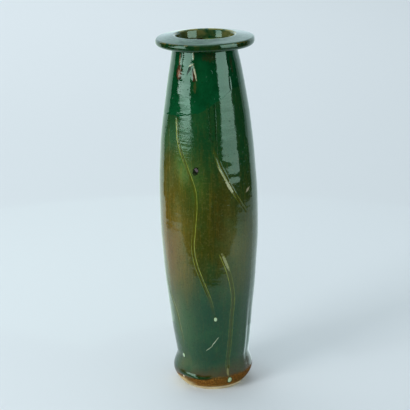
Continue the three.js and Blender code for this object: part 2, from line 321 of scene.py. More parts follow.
def grooves(angle, z, radius):
    """Height of the tooled lines above the plain wall, and how much of a burr, a groove and a
    bead each point is. Burrs stand on both sides of a groove, a little uneven along it."""
    height, burrs, pools, beads = (np.zeros_like(z) for _ in range(4))
    for number, line in enumerate(LINES):
        centre = smooth_curve(line["path"], z[:, 0])
        slope = np.gradient(centre * radius[:, 0], z[:, 0])[:, None]
        apart = (angle - centre[:, None] + math.pi) % (2 * math.pi) - math.pi
        d = apart * radius / np.sqrt(1 + slope**2)
        broken = 0.82 + 0.18 * np.sin(z / 1.3 + number) * np.sin(z / 3.7 + 2 * number)
        left, right = (strength(line["path"], z, side) * broken for side in (2, 3))
        offset = line.get("apart", BURR_OFFSET)
        ridges = left * bell(d + offset, BURR_WIDTH) + right * bell(d - offset, BURR_WIDTH)
        trough = np.minimum(1, left + right) * bell(d, GROOVE_WIDTH * offset / BURR_OFFSET)
        height += BURR_HEIGHT * ridges - GROOVE_DEPTH * trough
        burrs, pools = np.maximum(burrs, ridges), np.maximum(pools, trough)
        if "bead" in line:
            size = line.get("size", 1.0)
            bead = bell(d, BEAD_WIDTH * size) * bell(z - line["bead"], BEAD_LENGTH * size)
            height += BEAD_HEIGHT * bead
            beads = np.maximum(beads, bead)
    return height, burrs, pools, beads


# %% [markdown]
# Throwing leaves rings in the wall and a wavy outline. They are made as a sum of a few slow
# sine waves with fixed phases, so the pot comes out the same at every run.

# %% Throwing marks
def throwing(angle, z):
    """Height of the throwing marks: slow waves of the wall and a very low spiral ripple."""
    spiral = 0.025 * np.sin(2 * math.pi * z / 11.0 + angle)
    broad = 0.10 * np.sin(2 * math.pi * z / 52.0 + 0.6 * np.sin(angle + 0.4))
    wobble = 0.14 * np.sin(2 * angle + z / 61.0) + 0.08 * np.sin(3 * angle - z / 37.0)
    return (spiral + broad + wobble) * smoothstep(6, 40, z)


def wall(angle, z):
    """The glazed wall that both coats share: the round shape, its swells and throwing marks."""
    return outside(z) + swell(angle, z) + throwing(angle, z)


def dip_line(angle):
    """Height at which the second coat stops: a slanting plane that rises to the right, with a
    slow wave and a small ragged one."""
    slow = 3 * np.sin(3 * angle - math.pi / 3)
    ragged = 0.5 * np.sin(11 * angle) + 0.35 * np.sin(23 * angle + 2) + 0.2 * np.sin(47 * angle + 1)
    return DIP_HEIGHT + DIP_SWING * np.sin(angle) + slow + ragged


def hexed(code):
    """Linear colour of an sRGB hex code: the sRGB curve undone for each channel."""
    srgb = [int(code[i:i + 2], 16) / 255 for i in (1, 3, 5)]
    return tuple(c / 12.92 if c <= 0.04045 else ((c + 0.055) / 1.055) ** 2.4 for c in srgb) + (1.0,)


print("dip line at the left and the right in mm:",
      [round(float(dip_line(side * math.pi / 2)), 1) for side in (-1, 1)])


# %% [markdown]
# A groove is only 3 mm wide, and a grid fine enough for it all over would have millions of
# faces. So the columns of this grid run along the lines, close together beside each line and
# wider apart between two. A burr then stays crisp from end to end, where straight columns
# would turn it into a staircase.

# %% Columns that follow the lines
NEAR_STEPS = np.array([0, 0.5, 0.9, 1.15, 1.35, 1.55, 1.75, 1.95, 2.2, 2.5, 3.2, 4.4])
FAR_STEP = 1.55


def following_columns(heights):
    """Angles of grid columns that follow the lines: close steps beside each line, given in
    millimetres, and even steps in the space that is left to the next line."""
    found = line_angles(heights)
    radius = outside(heights)
    columns = []
    for k in range(len(found)):
        start = found[k]
        stop = found[(k + 1) % len(found)] + (2 * math.pi if k == len(found) - 1 else 0)
        gap = (stop - start) * radius
        near = np.minimum(NEAR_STEPS[:, None], gap[None] * 0.45 * (NEAR_STEPS / NEAR_STEPS[-1])[:, None])
        far = near[-1]
        steps = int(round((gap[len(heights) // 2] - 2 * NEAR_STEPS[-1]) / FAR_STEP))
        spread = np.linspace(0, 1, steps + 1)[1:-1, None]
        middle = far + spread * (gap - 2 * far)
        away = np.concatenate([near, middle, gap - near[::-1][:-1]])
        columns.append(start + away / radius)
    return np.concatenate(columns).T


# %% [markdown]
# Melted glaze runs down the wall. Above the foot it gathered in a thick green roll, below that
# it left the clay thin and rusty, and at the glaze line it stopped in a rounded lip. The runs
# are sine waves with fixed phases and not a noise texture, because the shape, the colour and
# the rust all have to follow the same runs.

# %% Glaze at the foot
LIP_THICKNESS, LIP_REACH, WAVE_REACH = 0.9, 2.2, 22.0
ROLL_RISE, ROLL_HEIGHT, ROLL_SLOPE = 1.5, 17.6, 0.2
ROLL_LOWER_EDGE, ROLL_UPPER_EDGE = (-2.4, -1.2), (2.7, 1.7)


def roll_profile(z):
    """The rolled lower edge: thickness falls to nothing at the glaze line as a quarter round."""
    t = np.clip((z - GLAZE_LINE) / LIP_REACH, 0, 1)
    return np.sqrt(1 - (1 - t) ** 2)


def runs(angle):
    """How far the glaze ran down at each angle: a sum of three sine waves."""
    return 0.5 * np.sin(11 * angle + 0.4) + 0.3 * np.sin(23 * angle + 1.9) + 0.2 * np.sin(41 * angle + 0.7)


def rust_line(angle):
    """Height below which the glaze is thin and rusty: higher on the right of the foot."""
    return 16.6 + 2.4 * np.sin(angle - 0.1) + 1.2 * runs(angle)


def pooled(angle, z):
    """The thick roll where the glaze gathered above the foot, from the left to the middle of the
    front. It sags on the way and gets narrower. In section its lower edge is sharp, and from
    there it gets gently thinner up to a soft upper edge."""
    degrees = np.degrees(turned(angle, 0))
    sag = 1.6 * smoothstep(-50, -20, degrees) - 1.4 * smoothstep(-20, 0, degrees)
    up = z - (ROLL_HEIGHT - sag)
    narrow = 1 - 0.45 * smoothstep(-24, -12, degrees)
    upper_end, upper_start = (edge * narrow for edge in ROLL_UPPER_EDGE)
    section = smoothstep(*ROLL_LOWER_EDGE, up) * smoothstep(upper_end, upper_start, up)
    section = section * (1 - ROLL_SLOPE * (up - ROLL_LOWER_EDGE[1]))
    size = smoothstep(-68, -52, degrees) * (0.75 + 0.7 * smoothstep(-44, -16, degrees))
    return size * smoothstep(4, -15, degrees) * section


print("rust line at the front in mm:", round(float(rust_line(0.0)), 1))

# %% [markdown]
# This glaze is green where it lies thick and olive or amber where it ran thin, and its pools
# have places that no noise would hit. So each pool is a soft bell with a given place, size and
# colour, and the colour is worked out at every grid point and stored there. What
# is finer than the grid comes later, from the material.

# %% Colour of the first coat
GREEN, OLIVE, DEEP = "#113f1e", "#373e0c", "#133a22"
GREEN_EDGE, GREEN_SLANT, GREEN_FADE = 240.0, 24.0, 42.0
DEEP_EDGE, DEEP_FADE = 126.0, 34.0
POOLS = [
    dict(height=200, angle=-55, tall=50, wide=15, colour="#6c581a", share=0.95),
    dict(height=178, angle=-66, tall=30, wide=7, colour="#6e4a12", share=0.7),
    dict(height=276, angle=-54, tall=16, wide=18, colour="#2c5c3c", share=0.6),
    dict(height=252, angle=-32, tall=22, wide=10, colour="#4c6a26", share=0.7),
    dict(height=246, angle=-29, tall=9, wide=14, colour="#6c8c50", share=0.35),
    dict(height=226, angle=-12, tall=20, wide=12, colour="#46682a", share=0.4),
    dict(height=236, angle=-50, tall=12, wide=12, colour="#4c5a30", share=0.5),
    dict(height=187, angle=-20, tall=12, wide=6, colour="#6e6028", share=0.4),
    dict(height=178, angle=-34, tall=46, wide=12, colour="#5a5214", share=0.9),
    dict(height=190, angle=-37, tall=22, wide=7, colour="#76703c", share=0.45),
    dict(height=195, angle=12, tall=42, wide=11, colour="#38340a", share=0.85),
    dict(height=142, angle=2, tall=14, wide=10, colour="#2c4422", share=0.7),
    dict(height=200, angle=24, tall=30, wide=9, colour="#4a440c", share=0.6),
    dict(height=166, angle=36, tall=26, wide=18, colour="#646638", share=0.8),
    dict(height=130, angle=40, tall=26, wide=18, colour="#54562c", share=0.7),
    dict(height=136, angle=-50, tall=36, wide=22, colour="#705e30", share=0.8),
    dict(height=158, angle=-58, tall=22, wide=14, colour="#7a4616", share=0.45),
    dict(height=168, angle=-40, tall=16, wide=9, colour="#7c5c30", share=0.4),
    dict(height=78, angle=-50, tall=36, wide=24, colour="#46603c", share=0.85),
    dict(height=28, angle=-50, tall=9, wide=26, colour="#5c6038", share=0.5),
    dict(height=95, angle=-52, tall=14, wide=8, colour="#706c44", share=0.4),
    dict(height=112, angle=24, tall=10, wide=9, colour="#405434", share=0.5),
    dict(height=72, angle=38, tall=44, wide=22, colour="#244620", share=0.7),
    dict(height=200, angle=110, tall=60, wide=24, colour="#5c4e14", share=0.8),
    dict(height=160, angle=150, tall=50, wide=20, colour="#3f3a10", share=0.8),
    dict(height=220, angle=205, tall=60, wide=26, colour="#4c5a20", share=0.8),
    dict(height=170, angle=255, tall=60, wide=24, colour="#62501a", share=0.8),
]
ROLL_GREEN, BROWN, RUST, GOLD, CREAM = "#10300c", "#4c3212", "#744a1a", "#a87e3e", "#dec48c"
print("pools of colour:", len(POOLS))


def blend(colour, share, code):
    """Colours mixed towards a hex colour by a share at each point."""
    return colour + share[..., None] * (np.array(hexed(code)[:3]) - colour)


def glaze_colour(angle, z):
    """Colour of the melted first coat: green above and below an olive belly, with soft pools of
    other tints, dragged down the wall by the runs. It thins to brown and rust at the foot, and
    to gold and cream at its lower edge."""
    run = runs(angle)
    h = z + 6 * run
    colour = np.zeros(z.shape + (3,)) + np.array(hexed(OLIVE)[:3])
    above = smoothstep(-GREEN_FADE, GREEN_FADE, h - GREEN_EDGE + GREEN_SLANT * np.sin(angle))
    colour = blend(colour, above, GREEN)
    colour = blend(colour, smoothstep(DEEP_FADE, -DEEP_FADE, z + 8 * run - DEEP_EDGE), DEEP)
    for pool in POOLS:
        across = bell(turned(angle, pool["angle"]), math.radians(pool["wide"]))
        share = pool["share"] * across * bell(h - pool["height"], pool["tall"])
        colour = blend(colour, share, pool["colour"])
    thin = rust_line(angle)
    fade = 15 + 9 * np.sin(angle)
    colour = blend(colour, 0.85 * smoothstep(fade + 2, 0, z - thin), BROWN)
    colour = blend(colour, smoothstep(1.5, -3.5, z - thin), RUST)
    colour = blend(colour, np.clip(1.5 * pooled(angle, z), 0, 1), ROLL_GREEN)
    colour = blend(colour, 0.9 * smoothstep(GLAZE_LINE + 5, GLAZE_LINE + 0.5, z), GOLD)
    degrees = np.degrees(turned(angle, 0))
    low = smoothstep(-26, -44, degrees) * smoothstep(10.5, 6.5, z)
    high = smoothstep(-40, -52, degrees) * smoothstep(13, 10, z)
    return blend(colour, smoothstep(-110, -80, degrees) * np.maximum(low, high), CREAM)


# %% [markdown]
# The first coat covers the wall from a glaze line just above the foot's edge up under the
# second coat. Its lower edge is a rolled lip where the melted glaze ran and stopped. Both
# coats follow the same wall, and each slips under the other at the dip line.

# %% First coat
BASE_ROWS, ROW_CROWDING, BASE_TOP = 240, 0.64, 340.0
SLIP_UNDER, SLIP_RISE = 0.42, 6.0
COAT_BACK, BACK_EVERY = 1.25, 12


def lower_wave(angle):
    """How far the lower edge of the coat wanders up and down: a sum of three sine waves."""
    return 0.9 * np.sin(3 * angle + 1) + 0.5 * np.sin(8 * angle) + 0.4 * np.sin(17 * angle + 2)


def first_fields(angle, z, burrs, pools, beads):
    """What each point of the first coat carries: how far it is a burr, a groove, a bead, warm,
    rippled or rusty, its angle and height, and its colour."""
    belly = smoothstep(105, 150, z) * smoothstep(285, 240, z)
    left_end = bell(z - 276, 20) * bell(turned(angle, -33), 0.35)
    calm = bell(z - 245, 24) * bell(turned(angle, 30), 0.4)
    thin = smoothstep(2, -3, z - rust_line(angle))
    return {
        "burr": burrs,
        "pool": pools,
        "bead": beads,
        "round": angle,
        "height": z,
        "warm": 0.15 + belly * (0.3 + 0.55 * bell(turned(angle, -58), 0.5)),
        "ripple": left_end - 0.18 * calm,
        "rusty": thin * (1 - np.clip(pooled(angle, z), 0, 1)),
        "tint": glaze_colour(angle, z),
    }


def base_coat():
    """The first coat: the wall and its tooling outside, then a plain inner face some way behind."""
    t = np.linspace(0, 1, BASE_ROWS)
    heights = GLAZE_LINE + (BASE_TOP - GLAZE_LINE) * (t - ROW_CROWDING * t * (1 - t) ** 2)
    angle = following_columns(heights)
    z = np.broadcast_to(heights[:, None], angle.shape)
    low = (1 - smoothstep(GLAZE_LINE, GLAZE_LINE + WAVE_REACH, z)) * smoothstep(-1, 1, z - GLAZE_LINE)
    z = z + lower_wave(angle) * low
    tooling, burrs, pools, beads = grooves(angle, z, np.broadcast_to(outside(z[:, :1]), z.shape))
    over = z - dip_line(angle)
    seen = smoothstep(1.5, -0.5, over)
    slip = SLIP_UNDER * np.clip(over / SLIP_RISE, 0, 1)
    lip = roll_profile(z)
    raised = (tooling + ROLL_RISE * pooled(angle, z) * lip) * seen
    outer = wall(angle, z) - LIP_THICKNESS * (1 - lip) + raised - slip
    back_z, back_angle = z[::-BACK_EVERY], angle[::-BACK_EVERY]
    back = outside(back_z) + swell(back_angle, back_z) - COAT_BACK
    points = np.concatenate([turn(outer, angle, z), turn(back, back_angle, back_z)])
    blank = np.zeros_like(back_z)
    marks = [np.concatenate([field, blank]) for field in (burrs * seen, pools * seen, beads)]
    full_angle, full_z = np.concatenate([angle, back_angle]), np.concatenate([z, back_z])
    return grid_mesh("first_coat", points, True, first_fields(full_angle, full_z, *marks))


first_coat = base_coat()

# %% [markdown]
# Small drips and tears in the second coat could be painted by hand on a texture, but this pot
# is procedural, so they are ovals, called marks here. A mark is at a height and an angle, and
# has half its length and width in millimetres, a slant in degrees and a colour. One with a
# rise is a real bump, and a dull one shows dark inside a reflection. A few pale marks are
# painted highlights on raised drips and burrs.

# %% Drips and tears
SECOND_MARKS = [
    dict(at=(360, 8), half=(4, 7), colour="#3c2a12", share=0.35, ragged=1.0),
    dict(at=(352, 47), half=(9, 1.5), colour="#3c2410", share=0.4, ragged=1.0),
    dict(at=(331, 39.5), half=(7, 0.7), colour="#0a1a0c", share=0.7, ragged=0.8, rise=-0.2),
    dict(at=(353.5, -41.5), half=(10, 0.5), slant=4, colour="#10180c", share=0.9, ragged=0.5, rise=-0.2),
    dict(at=(343.5, -45.5), half=(8.0, 4.6), colour="#0a1c0e", share=0.8, ragged=0.5),
    dict(at=(357, -46.5), half=(6.5, 1.0), slant=-2, colour="#7c5a40", share=0.8, ragged=0.4, rise=0.1),
    dict(at=(344.5, -45.5), half=(7.0, 3.4), colour="#48301e", share=0.95, ragged=0.5, rise=0.12),
    dict(at=(343, -46), half=(4.5, 1.7), colour="#8c6450", share=0.8, ragged=0.7),
    dict(at=(348, -26), half=(6, 1.3), slant=26, colour="#0a120a", ragged=0.5, rise=-0.3, dull=0.5),
    dict(at=(331, -16), half=(6, 1.5), colour="#46401c", share=0.5, ragged=0.6),
    dict(at=(343, -18.6), half=(7.5, 2.6), slant=-6, colour="#0c1c0c", share=0.9, ragged=0.4),
    dict(at=(342, -18.6), half=(5.5, 1.6), slant=-6, colour="#3e2814", ragged=0.4, rise=0.3),
    # Painted highlights: pale strokes on the raised drip under the collar, and one just below the collar.
    dict(at=(344.5, -16.2), half=(7.4, 0.8), slant=-13, colour="#b4b694", share=0.85, ragged=0.5, rise=0.3),
    dict(at=(352.5, -23), half=(2.8, 0.8), slant=60, colour="#b4b694", share=0.8, ragged=0.5, rise=0.3),
    dict(at=(361.5, -20), half=(4, 0.8), slant=-8, colour="#a8aa86", share=0.8, ragged=0.5, rise=0.3),
]
print("marks in the second coat:", len(SECOND_MARKS))


def relief(marks, angle, z):
    """Height of the raised and sunken marks: an oval bell for each, not too narrow for the grid."""
    total = np.zeros(np.broadcast(angle, z).shape)
    for mark in marks:
        up = z - mark["at"][0]
        across = turned(angle, mark["at"][1]) * outside(z)
        slant = math.radians(mark.get("slant", 0))
        lengthways = up * math.cos(slant) + across * math.sin(slant)
        sideways = across * math.cos(slant) - up * math.sin(slant)
        long, wide = mark["half"]
        total += mark.get("rise", 0) * bell(lengthways, long) * bell(sideways, max(wide, 0.8))
    return total


# %% [markdown]
# The second coat starts at the slanting dip line, covers the neck and the collar, and turns
# over the lip into the throat. Its rows are joined from three parts: the neck, the collar with
# the throat, and a back a little way behind, so that the coat is a closed skin of glaze.

# %% Rows of the second coat
SECOND_COLUMNS, NECK_ROWS, THROAT_ROWS, COLLAR_STEP = 520, 76, 14, 0.85
NECK_TOP = COLLAR_HEIGHT - COLLAR_FILLET
NOSE_HEIGHT = COLLAR_HEIGHT + NOSE_RISE
OUTER_EDGE = (COLLAR_RADIUS - 0.9, COLLAR_HEIGHT + 7.4)
LIP_CROWN = (MOUTH_RADIUS + 1.6, COLLAR_HEIGHT + LIP_RISE - 0.4)
RIM_MIDDLE = ((COLLAR_RADIUS + MOUTH_RADIUS) / 2, COLLAR_HEIGHT + LIP_RISE / 2)
THROAT_SEAM, THROAT_OVERLAP = COLLAR_HEIGHT + 2.0, 4.0
NECK_BACK, THROAT_BACK = 0.44, 0.5


def edge_roll(angle, above):
    """The lower edge of the second coat: a low roll at the left of the front and at the back."""
    left = 0.4 * bell(turned(angle, -44), math.radians(26))
    back = 0.2 * smoothstep(0.2, -0.6, np.cos(angle))
    return (0.05 + left + back) * bell(above - 1.1, 0.9)


def neck_rows(angle):
    """Radius of the plain wall, radius of the finished wall, and height, for the rows of the neck
    from their hidden start under the first coat up to the collar."""
    start = dip_line(angle) - SLIP_RISE
    t = np.linspace(0, 1, NECK_ROWS)[:, None] ** 1.1
    z = start + (NECK_TOP - start) * t
    above = z - dip_line(angle)
    plain = outside(z) + swell(angle, z) - SLIP_UNDER * np.clip(-above / SLIP_RISE, 0, 1)
    uneven = (throwing(angle, z) + edge_roll(angle, above)) * smoothstep(NECK_TOP, NECK_TOP - 12, z)
    return plain, plain + uneven + relief(SECOND_MARKS, angle, z), z


def collar_rows(angle):
    """Radius and height for the rows over the collar and down the throat. The collar is a little
    wavy, thicker on the right and lower on the left, and its root follows the swells of the neck."""
    collar = even_steps(collar_outline(), COLLAR_STEP)[1:]
    throat_z = np.linspace(MOUTH_HEIGHT, THROAT_SEAM - THROAT_OVERLAP, THROAT_ROWS)[1:]
    hidden = np.clip((THROAT_SEAM - throat_z) / THROAT_OVERLAP, 0, 1)
    throat = np.stack([hollow(throat_z) + SLIP_UNDER * hidden, throat_z], 1)
    r, level = np.split(np.concatenate([collar, throat]), 2, axis=1)
    wave = 0.16 * np.sin(2 * angle + 0.5) + 0.1 * np.sin(5 * angle)
    thicker = 0.4 * np.clip(np.sin(angle), 0, 1) * np.clip((level - NOSE_HEIGHT) / 3, -1, 1)
    lower = -0.35 * np.clip(-np.sin(angle), 0, 1) * (level > NOSE_HEIGHT)
    z = level + (wave + thicker + lower) * smoothstep(NECK_RADIUS + 4, COLLAR_RADIUS, r)
    root = (r > NECK_RADIUS - 1) * smoothstep(NECK_RADIUS + 6, NECK_RADIUS, r) * (level < NOSE_HEIGHT)
    return r + swell(angle, z) * root, z


def behind_collar(r, z):
    """The back of the coat in the collar: every sixth row, moved towards the middle of the rim, or
    half a millimetre outwards in the throat."""
    back_r, back_z = r[::-6], z[::-6]
    in_throat = back_r < MOUTH_RADIUS + 0.5
    moved_r = back_r + (RIM_MIDDLE[0] - back_r) * 0.045
    moved_z = back_z + (RIM_MIDDLE[1] - back_z) * 0.1
    return np.where(in_throat, back_r + THROAT_BACK, moved_r), np.where(in_throat, back_z, moved_z)


# %% [markdown]
# Melted glaze runs thin over an edge and breaks to a browner colour there. The material can't
# see edges by itself, so the grid tells it where they are.

# %% Second coat
def second_fields(angle, r, z):
    """What each point of the second coat carries: its angle, height and radius, and how far it
    lies on the outer edge, the lip, the throat, the top or the nose of the collar."""
    throat = smoothstep(MOUTH_RADIUS + 1.8, MOUTH_RADIUS, r) * smoothstep(-12, 0, z - COLLAR_HEIGHT)
    side_parts = np.maximum(bell(turned(angle, -38), 0.45), bell(turned(angle, 46), 0.35))
    over_nose = smoothstep(NOSE_HEIGHT + 4.5, NOSE_HEIGHT + 2.5, z)
    inward = smoothstep(MOUTH_RADIUS, MOUTH_RADIUS + 2, r)
    return {
        "round": angle,
        "height": z,
        "reach": r,
        "edge": bell(np.hypot(r - OUTER_EDGE[0], z - OUTER_EDGE[1]), 1.2) * (0.35 + 0.65 * side_parts),
        "lip": bell(np.hypot(r - LIP_CROWN[0], z - LIP_CROWN[1]), 1.2),
        "throat": throat,
        "top": smoothstep(NOSE_HEIGHT + 2, NOSE_HEIGHT + 4, z) * inward,
        "nose": smoothstep(COLLAR_HEIGHT - 2, COLLAR_HEIGHT, z) * over_nose * (1 - throat),
    }


def second_coat():
    """The second coat: up the neck, over the collar, down the throat and back behind itself."""
    angle = np.linspace(-math.pi, math.pi, SECOND_COLUMNS, endpoint=False)
    plain, neck_r, neck_z = neck_rows(angle)
    collar_r, collar_z = collar_rows(angle)
    back_r, back_z = behind_collar(collar_r, collar_z)
    r = np.concatenate([neck_r, collar_r, back_r, plain[::-8] - NECK_BACK])
    z = np.concatenate([neck_z, collar_z, back_z, neck_z[::-8]])
    full_angle = np.broadcast_to(angle, z.shape)
    return grid_mesh("second_coat", turn(r, full_angle, z), True, second_fields(full_angle, r, z))


second = second_coat()

# %% [markdown]
# The lining is poured glaze inside, seen through the mouth only, so its grid is coarser. The
# clay foot shows as a narrow buff ring and as the flat wire-cut underside. Both end at a point
# on the axis, where the coinciding points of a row are merged into one pole.

# %% Lining and foot
LINING_THICKNESS = 0.55
FOOT_TOP, FOOT_BACK = 8.0, 0.25


def lining():
    """The lining: a flat floor, a round corner and the hollow wall, once inside and once outside."""
    angle = np.linspace(-math.pi, math.pi, 160, endpoint=False)
    corner_top = FLOOR_HEIGHT + FLOOR_FILLET
    z = np.linspace(corner_top, THROAT_SEAM + THROAT_OVERLAP, 130)
    hidden = np.clip((z - THROAT_SEAM) / THROAT_OVERLAP, 0, 1)
    side = np.stack([hollow(z) + SLIP_UNDER * hidden, z], 1)
    corner_centre = (float(hollow(np.array(corner_top))) - FLOOR_FILLET, corner_top)
    corner = arc(corner_centre, (FLOOR_FILLET, FLOOR_FILLET), -1, 0, 8)[:-1]
    flat = np.stack([np.linspace(0, corner[0, 0], 14)[:-1], np.full(13, FLOOR_HEIGHT)], 1)
    inner = np.concatenate([flat, corner, side])
    outer = inner + [LINING_THICKNESS, 0]
    outer[:, 1] -= LINING_THICKNESS * (inner[:, 1] < corner_top)
    outer[0, 0] = 0
    r, height = np.split(np.concatenate([outer, inner[::-1]]), 2, axis=1)
    r, height, full_angle = np.broadcast_arrays(r, height, angle)
    thing = grid_mesh("inside_lining", turn(r, full_angle, height), False,
                      {"height": height, "round": full_angle})
    merge_poles(thing)
    return thing


def foot():
    """The bare clay foot: the slanting underside from its middle out, the low wall up to just
    behind the glaze, and a flat top that is hidden inside."""
    angle = np.linspace(-math.pi, math.pi, 256, endpoint=False)
    slant = -math.tan(LEAN) * np.sin(angle)
    under_r = np.linspace(0, FOOT_EDGE_RADIUS - 0.6, 26)[:, None]
    level = np.linspace(0.35, FOOT_TOP, 12)[:, None]
    side_z = level + (FOOT_EDGE_RADIUS - 0.15) * slant * (1 - level / FOOT_TOP)
    under_glaze = LIP_THICKNESS * smoothstep(GLAZE_LINE, GLAZE_LINE + 1.5, side_z)
    side_r = outside(side_z) + swell(angle, side_z) - FOOT_BACK - under_glaze
    top_r = np.linspace(1, 0, 8)[1:, None] * (float(outside(np.array(FOOT_TOP))) - FOOT_BACK - LIP_THICKNESS)
    all_round = np.zeros_like(angle)
    z = np.concatenate([under_r * slant, side_z, FOOT_TOP + 0 * top_r + all_round])
    r = np.concatenate([under_r + all_round, side_r, top_r + all_round])
    thing = grid_mesh("clay_foot", turn(r, np.broadcast_to(angle, z.shape), z), False)
    merge_poles(thing)
    return thing


inside_lining = lining()
clay_foot = foot()

# %% [markdown]
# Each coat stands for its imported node, and the clay foot for the foot section. The clay
# sections under the glaze stay as they are.

# %% Ride and replace
for thing, nodes, slot in [
    (first_coat, ["base_glaze"], "green_glaze"),
    (second, ["second_glaze"], "deep_green_glaze"),
    (inside_lining, ["lining_glaze"], "lining_glaze"),
    (clay_foot, ["foot_section"], "bare_clay"),
]:
    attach(thing, "root")
    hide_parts(*nodes)


# %% [markdown]
# Colours are written as the eye reads them, in sRGB hex, and are turned to linear light. One
# function adds any shader node: it fills the node's inputs with numbers, colours or links and
# hands back an output, so that most patterns are one line. A noise's scale counts its grains
# in a metre of pot, so a scale of 330 draws grains 3 mm wide.

# %% Material helpers
def add(tree, kind, *values, out=None, **named):
    """Adds a shader node. Values fill its visible inputs in order, and named ones fill the input or
    the setting of that name. A value is a number, a colour or a socket to link. Gives back the
    output of a given name, or the first visible one."""
    node = tree.nodes.new("ShaderNode" + kind)
    for name in [name for name in named if hasattr(node, name)]:
        setattr(node, name, named.pop(name))
    inputs = [socket for socket in node.inputs if socket.enabled]
    by_name = {socket.name.replace(" ", "_"): socket for socket in inputs}
    pairs = list(zip(inputs, values)) + [(by_name[name], value) for name, value in named.items()]
    for socket, value in pairs:
        if isinstance(value, bpy.types.NodeSocket):
            tree.links.new(value, socket)
        else:
            socket.default_value = value
    return node.outputs[out] if out else next((socket for socket in node.outputs if socket.enabled), None)


def new_material(name):
    """An empty material that uses nodes, and its node tree."""
    material = bpy.data.materials.new(name)
    material.use_nodes = True
    material.node_tree.nodes.clear()
    return material, material.node_tree


def carried(tree, *names):
    """Sockets of the numbers that the surface carries, one for each name."""
    return [add(tree, "Attribute", attribute_name=name, out="Fac") for name in names]


def laid(tree, colour, tint, strength, where=None, pattern=None, levels=(0.0, 1.0)):
    """The colour with a tint laid over it. Its share is the strength, times a socket that says
    where it belongs, times how far the pattern is from the first level to the second."""
    share = strength
    if pattern is not None:
        share = add(tree, "MapRange", pattern, *levels, 0.0, strength, interpolation_type="SMOOTHSTEP")
    if where is not None:
        share = add(tree, "Math", share, where, operation="MULTIPLY")
    below, above = (hexed(code) if isinstance(code, str) else code for code in (colour, tint))
    return add(tree, "Mix", share, below, above, data_type="RGBA")


# %% [markdown]
# A mark is an oval on the wall. The point's angle and height are moved to its middle, turned by
# its slant and divided by its half sizes, so that the oval's edge is at a distance of 1. A noise
# added to the squared distance tears that edge.

# %% Marks in the glaze
RAGGEDNESS = 5.0
MARK_EDGE = (1.4, 0.5)


def spot(tree, on_pot, ragged, mark):
    """1 inside a slanted oval mark, 0 outside, with an edge made ragged by a noise socket."""
    z, degrees = mark["at"]
    long, wide = mark["half"]
    middle = (math.radians(degrees), z, 0)
    around = (1 / float(outside(np.array(float(z)))), 1, 1)
    centred = add(tree, "Mapping", on_pot, Location=middle, Scale=around, vector_type="TEXTURE")
    slant = (0, 0, -math.radians(mark.get("slant", 0)))
    oval = add(tree, "Mapping", centred, Rotation=slant, Scale=(wide, long, 1), vector_type="TEXTURE")
    squared = add(tree, "VectorMath", oval, oval, operation="DOT_PRODUCT")
    torn = add(tree, "Math", ragged, 0.5, operation="SUBTRACT")
    edge = add(tree, "Math", torn, RAGGEDNESS * mark.get("ragged", 0.0), squared, operation="MULTIPLY_ADD")
    share = mark.get("share", 1.0)
    return add(tree, "MapRange", edge, *MARK_EDGE, 0.0, share, interpolation_type="SMOOTHSTEP")


def marked(tree, ragged, colour, roughness, marks):
    """The colour with every mark laid over it in turn, and the roughness with the dull marks."""
    angle, height = carried(tree, "round", "height")
    on_pot = add(tree, "CombineXYZ", angle, height)
    for mark in marks:
        inside = spot(tree, on_pot, ragged, mark)
        colour = laid(tree, colour, mark["colour"], inside)
        if "dull" in mark:
            dull = add(tree, "Math", inside, mark["dull"], operation="MULTIPLY")
            roughness = add(tree, "Math", dull, roughness, operation="MAXIMUM")
    return colour, roughness


# %% [markdown]
# The glaze is a glass of copper and iron over stoneware, melted on in the kiln. Its surface is
# glossy, with orange peel of 3 mm, slow dips of 13 mm, small pits of 2 mm and low ripples drawn
# round the pot by the wheel. Its colour is deep bottle green where it lies thick and olive or
# amber where it runs thin, with streaks that run down the wall.

# %% Melted glass
GLAZE_IOR = 1.5
GREEN_GLASS = (0.62, 1.0, 0.86, 1.0)
FINE = 0.55


def melted(tree, place, colour, roughness, ripple, level=0.5):
    """The glass of the glaze: a clear dielectric surface with orange peel, dips, ripples and pits.
    Light reflected at the front is a little green."""
    peel = add(tree, "TexNoise", place, 330, 2, FINE)
    dips = add(tree, "TexNoise", place, 75, 2, FINE)
    wheel = add(tree, "TexNoise", add(tree, "Mapping", place, Scale=(16, 16, 330)), 1, 1, FINE)
    peel_share = add(tree, "Math", ripple, 1.6, 0.35, operation="MULTIPLY_ADD")
    wheel_share = add(tree, "Math", ripple, 1.8, 0.35, operation="MULTIPLY_ADD")
    bumps = add(tree, "Math", peel, peel_share, dips, operation="MULTIPLY_ADD")
    bumps = add(tree, "Math", wheel, wheel_share, bumps, operation="MULTIPLY_ADD")
    pitted = add(tree, "TexNoise", place, 520, 0, FINE)
    pits = add(tree, "MapRange", pitted, 0.8, 0.86, 0.0, -0.8, interpolation_type="SMOOTHSTEP")
    bumps = add(tree, "Math", bumps, pits, operation="ADD")
    normal = add(tree, "Bump", Height=bumps, Strength=0.4, Distance=0.0005)
    shader = add(tree, "BsdfPrincipled", Base_Color=colour, Roughness=roughness, Normal=normal,
                 IOR=GLAZE_IOR, Specular_IOR_Level=level, Specular_Tint=GREEN_GLASS)
    add(tree, "OutputMaterial", shader)
